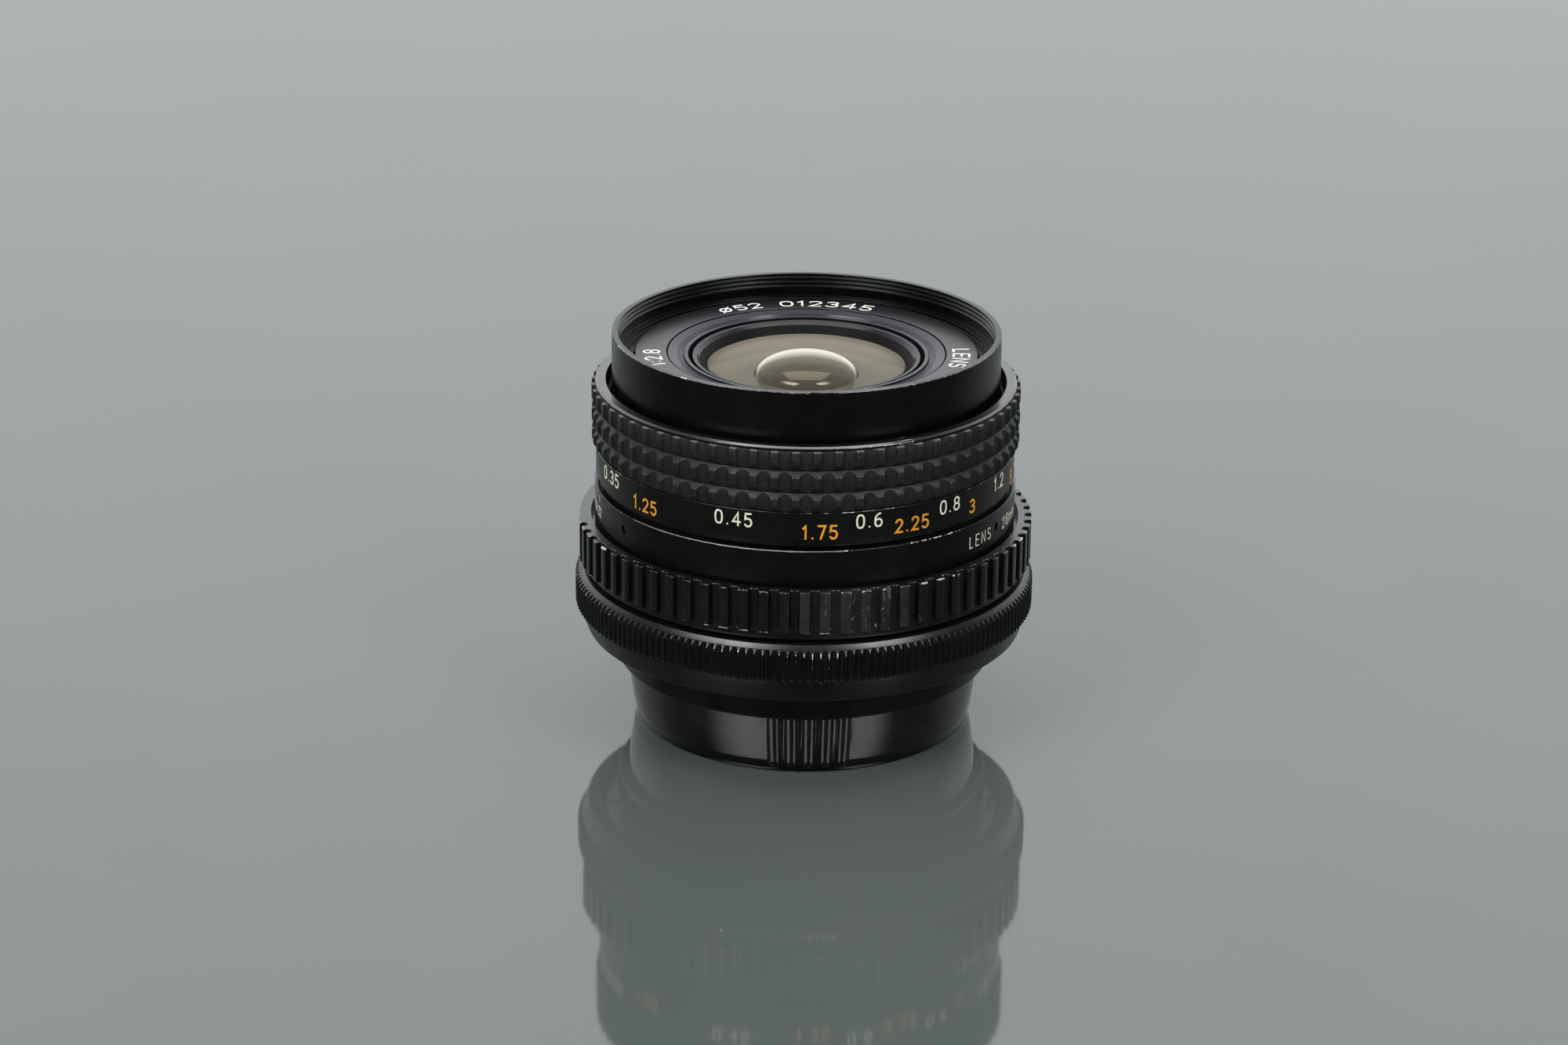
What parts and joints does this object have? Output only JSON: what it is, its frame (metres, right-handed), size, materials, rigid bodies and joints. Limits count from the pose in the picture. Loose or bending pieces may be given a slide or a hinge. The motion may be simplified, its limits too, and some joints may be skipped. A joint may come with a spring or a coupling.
{
  "type": "prime camera lens",
  "caption": "Wide-angle prime camera lens with rubber focus grip, aperture ring, breech-lock ring and rear cap, standing front up.",
  "frame": {"origin": "centre of the rear cap's flat resting face, on the optical axis", "axes": "+Z along the optical axis from the rear cap to the front rim; -Y is the side with the middle of the distance scale at closest focus; +X to the right seen from -Y"},
  "size_m": [0.0646, 0.0646, 0.0565],
  "materials": {
    "satin_black": "satin black anodised aluminium, dust specks, rubbed bright on edges",
    "grip_rubber": "charcoal matt moulded rubber, dusty",
    "cap_plastic": "gloss black moulded plastic",
    "flat_black": "flat black anti-reflection paint",
    "steel": "machined, satin",
    "brass": "machined, greased",
    "aluminium": "machined, clear",
    "blade_black": "thin blued steel, satin",
    "optical_glass": "polished, single amber coating"
  },
  "bodies": {
    "cap": {"rear_cap": "cap_plastic"},
    "barrel": {"fixed_barrel": "satin_black", "index_ring": "satin_black", "index_ring_screw_1": "steel", "index_ring_screw_2": "steel", "index_ring_screw_3": "steel", "guide_tube": "satin_black", "mount_plate": "steel", "mount_screw_1": "steel", "mount_screw_2": "steel", "mount_screw_3": "steel", "locating_pin": "steel", "detent_spring": "steel", "detent_ball": "steel", "focus_stop_screw": "steel"},
    "focus_group": {"focus_ring": "satin_black", "rubber_grip": "grip_rubber", "helicoid_nut": "brass", "focus_ring_screw_1": "steel", "focus_ring_screw_2": "steel", "focus_ring_screw_3": "steel"},
    "optical_block": {"filter_ring": "satin_black", "focus_barrel": "aluminium", "name_ring": "satin_black", "stepped_baffle": "flat_black", "front_retainer": "satin_black", "lens_carrier": "satin_black", "front_cell": "flat_black", "lens_1": "optical_glass", "front_spacer": "flat_black", "lens_2": "optical_glass", "second_spacer": "flat_black", "lens_3": "optical_glass", "third_retainer": "flat_black", "iris_housing": "flat_black", "iris_cover": "flat_black", "rear_cell": "flat_black", "lens_4": "optical_glass", "rear_spacer": "flat_black", "lens_5": "optical_glass", "lens_6": "optical_glass", "lens_7": "optical_glass", "rear_retainer": "satin_black", "helicoid_key": "steel"},
    "aperture_control": {"aperture_ring": "satin_black"},
    "iris_drive": {"iris_drive_ring": "aluminium"},
    "breech_lock": {"breech_ring": "satin_black"},
    "stop_down": {"stop_down_lever": "steel"},
    "signal": {"signal_lever": "steel"},
    "blade_1": {"iris_blade_1": "blade_black"},
    "blade_2": {"iris_blade_2": "blade_black"},
    "blade_3": {"iris_blade_3": "blade_black"},
    "blade_4": {"iris_blade_4": "blade_black"},
    "blade_5": {"iris_blade_5": "blade_black"},
    "blade_6": {"iris_blade_6": "blade_black"}
  },
  "joints": [
    {"name": "cap_lift", "type": "slide", "parent": "cap", "child": "barrel", "axis": [0, 0, 1], "range_m": [0, 0.018]},
    {"name": "focus_turn", "type": "hinge", "parent": "barrel", "child": "focus_group", "pos_m": [0, 0, 0.045], "axis": [0, 0, 1], "range_deg": [-205, 0]},
    {"name": "focus_travel", "type": "slide", "parent": "barrel", "child": "optical_block", "axis": [0, 0, 1], "range_m": [-0.0029, 0]},
    {"name": "aperture_turn", "type": "hinge", "parent": "barrel", "child": "aperture_control", "pos_m": [0, 0, 0.026], "axis": [0, 0, 1], "range_deg": [0, 64]},
    {"name": "iris_drive_turn", "type": "hinge", "parent": "optical_block", "child": "iris_drive", "pos_m": [0, 0, 0.033], "axis": [0, 0, 1], "range_deg": [0, 32]},
    {"name": "breech_turn", "type": "hinge", "parent": "barrel", "child": "breech_lock", "pos_m": [0, 0, 0.018], "axis": [0, 0, 1], "range_deg": [-60, 0]},
    {"name": "stop_down_swing", "type": "hinge", "parent": "barrel", "child": "stop_down", "pos_m": [0, 0, 0.017], "axis": [0, 0, 1], "range_deg": [0, 36]},
    {"name": "signal_swing", "type": "hinge", "parent": "barrel", "child": "signal", "pos_m": [0, 0, 0.017], "axis": [0, 0, 1], "range_deg": [0, 64.01]},
    {"name": "blade_1_swing", "type": "hinge", "parent": "optical_block", "child": "blade_1", "pos_m": [0.01108, -0.00061, 0.031], "axis": [0, 0, 1], "range_deg": [0, 30.01]},
    {"name": "blade_2_swing", "type": "hinge", "parent": "optical_block", "child": "blade_2", "pos_m": [0.00607, 0.00929, 0.03124], "axis": [0, 0, 1], "range_deg": [0, 30.01]},
    {"name": "blade_3_swing", "type": "hinge", "parent": "optical_block", "child": "blade_3", "pos_m": [-0.00501, 0.0099, 0.03148], "axis": [0, 0, 1], "range_deg": [0, 30.01]},
    {"name": "blade_4_swing", "type": "hinge", "parent": "optical_block", "child": "blade_4", "pos_m": [-0.01108, 0.00061, 0.03172], "axis": [0, 0, 1], "range_deg": [0, 30.01]},
    {"name": "blade_5_swing", "type": "hinge", "parent": "optical_block", "child": "blade_5", "pos_m": [-0.00607, -0.00929, 0.03196], "axis": [0, 0, 1], "range_deg": [0, 30.01]},
    {"name": "blade_6_swing", "type": "hinge", "parent": "optical_block", "child": "blade_6", "pos_m": [0.00501, -0.0099, 0.0322], "axis": [0, 0, 1], "range_deg": [0, 30.01]}
  ],
  "couplings": [
    {"joint": "focus_travel", "follows": "focus_turn", "m_per_rad": 0.00081033},
    {"joint": "iris_drive_turn", "follows": "aperture_turn", "ratio": 0.4999},
    {"joint": "signal_swing", "follows": "aperture_turn", "ratio": 1},
    {"joint": "blade_1_swing", "follows": "aperture_turn", "ratio": 0.46875},
    {"joint": "blade_2_swing", "follows": "aperture_turn", "ratio": 0.46875},
    {"joint": "blade_3_swing", "follows": "aperture_turn", "ratio": 0.46875},
    {"joint": "blade_4_swing", "follows": "aperture_turn", "ratio": 0.46875},
    {"joint": "blade_5_swing", "follows": "aperture_turn", "ratio": 0.46875},
    {"joint": "blade_6_swing", "follows": "aperture_turn", "ratio": 0.46875}
  ]
}
